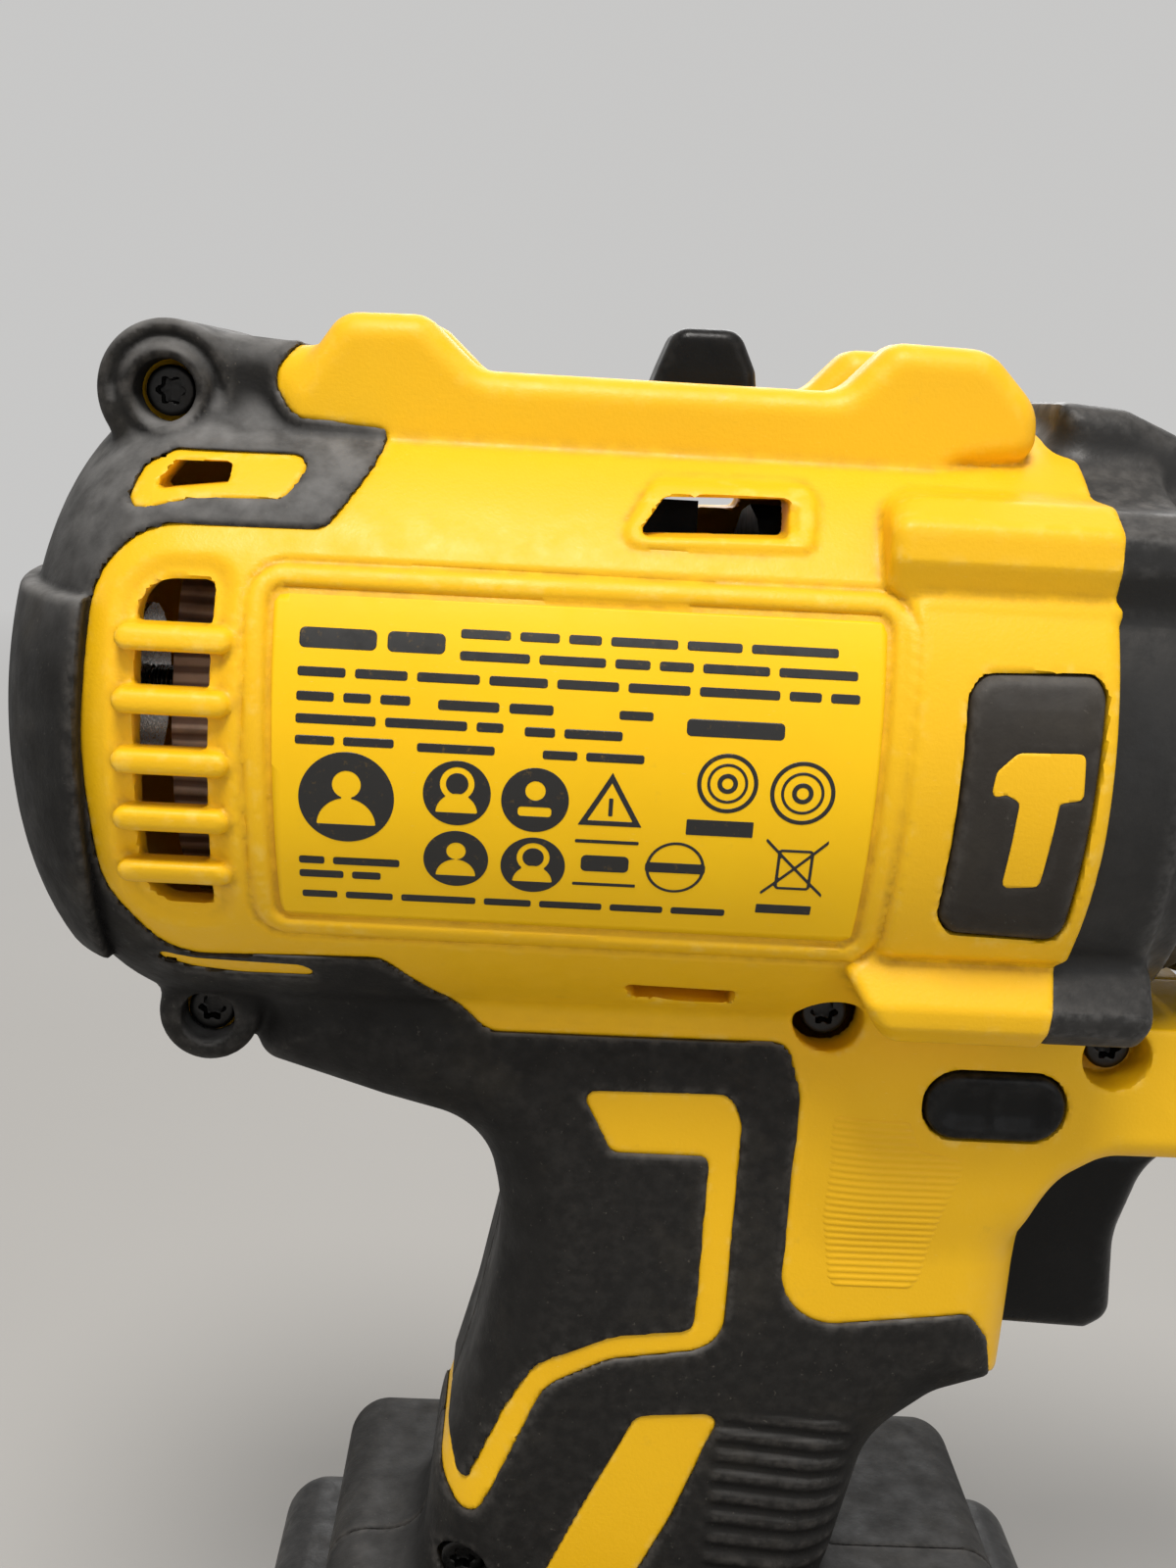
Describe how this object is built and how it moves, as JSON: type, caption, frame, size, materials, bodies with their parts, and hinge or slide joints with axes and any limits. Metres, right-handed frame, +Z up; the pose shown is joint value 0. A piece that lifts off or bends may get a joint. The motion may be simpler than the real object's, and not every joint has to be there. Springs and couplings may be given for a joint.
{
  "type": "cordless drill",
  "caption": "Pistol-grip cordless hammer drill with keyless chuck, clutch collar, speed selector, trigger, direction button and slide-on battery; it stands on its battery.",
  "frame": {"origin": "centre of the bounding box at its base, on the underside of the battery", "axes": "+X along the spindle towards the chuck, +Y to the left side of the tool, +Z up"},
  "size_m": [0.1896, 0.074, 0.2066],
  "materials": {
    "yellow_shell": "fine grained, satin",
    "black_rubber": "matt moulded rubber",
    "black_plastic": "matt moulded plastic",
    "label": "smooth printed film",
    "steel": "machined steel",
    "dark_steel": "blackened steel",
    "lamination": "stacked sheet steel",
    "winding": "enamelled copper wire",
    "board": "circuit board",
    "contact": "plated contacts in a plastic block",
    "cell": "wrapped cells",
    "lens": "clear lens"
  },
  "bodies": {
    "root": {"housing_right": "yellow_shell", "housing_left": "yellow_shell", "overmould_right": "black_rubber", "overmould_left": "black_rubber", "mode_badge_right": "black_rubber", "mode_badge_left": "black_rubber", "rating_label": "label", "screw_rear_top": "dark_steel", "screw_rear_bottom": "dark_steel", "screw_middle": "dark_steel", "screw_front": "dark_steel", "screw_grip": "dark_steel", "screw_foot": "dark_steel", "motor_stator": "lamination", "stator_windings": "winding", "sensor_board": "board", "gear_case": "black_plastic", "gear_case_cover": "black_plastic", "switch_module": "black_plastic", "rear_bearing": "steel", "front_bearing": "steel", "ring_gear_1": "steel", "ring_gear_3": "steel", "clutch_spring": "steel", "spindle_bearing": "steel", "terminal_block": "contact", "led_lens": "lens"},
    "rotor": {"rotor": "dark_steel", "fan": "black_plastic", "motor_pinion": "steel"},
    "carrier_1": {"carrier_1": "steel"},
    "carrier_2": {"carrier_2": "steel"},
    "spindle": {"carrier_3": "steel", "spindle": "steel", "chuck_body": "dark_steel", "chuck_screw": "dark_steel"},
    "chuck_sleeve": {"chuck_sleeve": "black_plastic", "jaw_nut": "steel"},
    "clutch_collar": {"clutch_collar": "black_plastic"},
    "speed_selector": {"speed_selector": "black_plastic", "shift_bracket": "dark_steel", "ring_gear_2": "steel"},
    "trigger": {"trigger": "black_plastic"},
    "direction_button": {"direction_button": "black_plastic"},
    "battery": {"battery_case": "black_plastic", "battery_cover": "black_plastic", "cell_pack": "cell"},
    "battery_latch": {"battery_latch": "yellow_shell"},
    "planet_1_1": {"planet_1_1": "steel"},
    "planet_1_2": {"planet_1_2": "steel"},
    "planet_1_3": {"planet_1_3": "steel"},
    "planet_2_1": {"planet_2_1": "steel"},
    "planet_2_2": {"planet_2_2": "steel"},
    "planet_2_3": {"planet_2_3": "steel"},
    "planet_3_1": {"planet_3_1": "steel"},
    "planet_3_2": {"planet_3_2": "steel"},
    "planet_3_3": {"planet_3_3": "steel"},
    "chuck_jaw_1": {"chuck_jaw_1": "steel"},
    "chuck_jaw_2": {"chuck_jaw_2": "steel"},
    "chuck_jaw_3": {"chuck_jaw_3": "steel"}
  },
  "joints": [
    {"name": "rotor_spin", "type": "hinge", "parent": "root", "child": "rotor", "pos_m": [-0.0322, 0, 0.1642], "axis": [1, 0, 0], "continuous": true},
    {"name": "carrier_1_spin", "type": "hinge", "parent": "root", "child": "carrier_1", "pos_m": [-0.0322, 0, 0.1642], "axis": [1, 0, 0], "continuous": true},
    {"name": "carrier_2_spin", "type": "hinge", "parent": "root", "child": "carrier_2", "pos_m": [-0.0322, 0, 0.1642], "axis": [1, 0, 0], "continuous": true},
    {"name": "spindle_spin", "type": "hinge", "parent": "root", "child": "spindle", "pos_m": [-0.0322, 0, 0.1642], "axis": [1, 0, 0], "continuous": true},
    {"name": "planet_1_1_spin", "type": "hinge", "parent": "carrier_1", "child": "planet_1_1", "pos_m": [-0.0322, 0.012, 0.1642], "axis": [1, 0, 0], "continuous": true},
    {"name": "planet_1_2_spin", "type": "hinge", "parent": "carrier_1", "child": "planet_1_2", "pos_m": [-0.0322, -0.006, 0.17459], "axis": [1, 0, 0], "continuous": true},
    {"name": "planet_1_3_spin", "type": "hinge", "parent": "carrier_1", "child": "planet_1_3", "pos_m": [-0.0322, -0.006, 0.15381], "axis": [1, 0, 0], "continuous": true},
    {"name": "planet_2_1_spin", "type": "hinge", "parent": "carrier_2", "child": "planet_2_1", "pos_m": [-0.0322, 0.01155, 0.1642], "axis": [1, 0, 0], "continuous": true},
    {"name": "planet_2_2_spin", "type": "hinge", "parent": "carrier_2", "child": "planet_2_2", "pos_m": [-0.0322, -0.00577, 0.1742], "axis": [1, 0, 0], "continuous": true},
    {"name": "planet_2_3_spin", "type": "hinge", "parent": "carrier_2", "child": "planet_2_3", "pos_m": [-0.0322, -0.00578, 0.1542], "axis": [1, 0, 0], "continuous": true},
    {"name": "planet_3_1_spin", "type": "hinge", "parent": "spindle", "child": "planet_3_1", "pos_m": [-0.0322, 0.0135, 0.1642], "axis": [1, 0, 0], "continuous": true},
    {"name": "planet_3_2_spin", "type": "hinge", "parent": "spindle", "child": "planet_3_2", "pos_m": [-0.0322, -0.00675, 0.17589], "axis": [1, 0, 0], "continuous": true},
    {"name": "planet_3_3_spin", "type": "hinge", "parent": "spindle", "child": "planet_3_3", "pos_m": [-0.0322, -0.00675, 0.15251], "axis": [1, 0, 0], "continuous": true},
    {"name": "chuck_tighten", "type": "hinge", "parent": "spindle", "child": "chuck_sleeve", "pos_m": [0.0728, 0, 0.1642], "axis": [1, 0, 0], "range_deg": [0, 2880]},
    {"name": "chuck_jaw_1_slide", "type": "slide", "parent": "spindle", "child": "chuck_jaw_1", "axis": [0.9135, 0, -0.4067], "range_m": [0, 0.0152]},
    {"name": "chuck_jaw_2_slide", "type": "slide", "parent": "spindle", "child": "chuck_jaw_2", "axis": [0.9135, 0.3522, 0.2034], "range_m": [0, 0.0152]},
    {"name": "chuck_jaw_3_slide", "type": "slide", "parent": "spindle", "child": "chuck_jaw_3", "axis": [0.9135, -0.3522, 0.2034], "range_m": [0, 0.0152]},
    {"name": "collar_turn", "type": "hinge", "parent": "root", "child": "clutch_collar", "pos_m": [0.0458, 0, 0.1642], "axis": [1, 0, 0], "range_deg": [0, 304]},
    {"name": "speed_shift", "type": "slide", "parent": "root", "child": "speed_selector", "axis": [1, 0, 0], "range_m": [-0.006, 0]},
    {"name": "trigger_pull", "type": "slide", "parent": "root", "child": "trigger", "axis": [-1, 0, 0], "range_m": [0, 0.007], "stiffness_N_per_m": 900, "springref_m": -0.003},
    {"name": "direction_push", "type": "slide", "parent": "root", "child": "direction_button", "axis": [0, 1, 0], "range_m": [-0.0025, 0.0025]},
    {"name": "battery_slide", "type": "slide", "parent": "root", "child": "battery", "axis": [1, 0, 0], "range_m": [0, 0.085]},
    {"name": "battery_latch_press", "type": "slide", "parent": "battery", "child": "battery_latch", "axis": [0, 0, -1], "range_m": [0, 0.0035], "stiffness_N_per_m": 1500, "springref_m": -0.002}
  ],
  "couplings": [
    {"joint": "carrier_1_spin", "follows": "rotor_spin", "ratio": 0.25},
    {"joint": "carrier_2_spin", "follows": "rotor_spin", "ratio": 0.071429},
    {"joint": "spindle_spin", "follows": "rotor_spin", "ratio": 0.02381},
    {"joint": "planet_1_1_spin", "follows": "rotor_spin", "ratio": -0.75},
    {"joint": "planet_1_2_spin", "follows": "rotor_spin", "ratio": -0.75},
    {"joint": "planet_1_3_spin", "follows": "rotor_spin", "ratio": -0.75},
    {"joint": "planet_2_1_spin", "follows": "rotor_spin", "ratio": -0.2381},
    {"joint": "planet_2_2_spin", "follows": "rotor_spin", "ratio": -0.2381},
    {"joint": "planet_2_3_spin", "follows": "rotor_spin", "ratio": -0.2381},
    {"joint": "planet_3_1_spin", "follows": "rotor_spin", "ratio": -0.095238},
    {"joint": "planet_3_2_spin", "follows": "rotor_spin", "ratio": -0.095238},
    {"joint": "planet_3_3_spin", "follows": "rotor_spin", "ratio": -0.095238},
    {"joint": "chuck_jaw_1_slide", "follows": "chuck_tighten", "m_per_rad": 0.0003023},
    {"joint": "chuck_jaw_2_slide", "follows": "chuck_tighten", "m_per_rad": 0.0003023},
    {"joint": "chuck_jaw_3_slide", "follows": "chuck_tighten", "m_per_rad": 0.0003023}
  ]
}
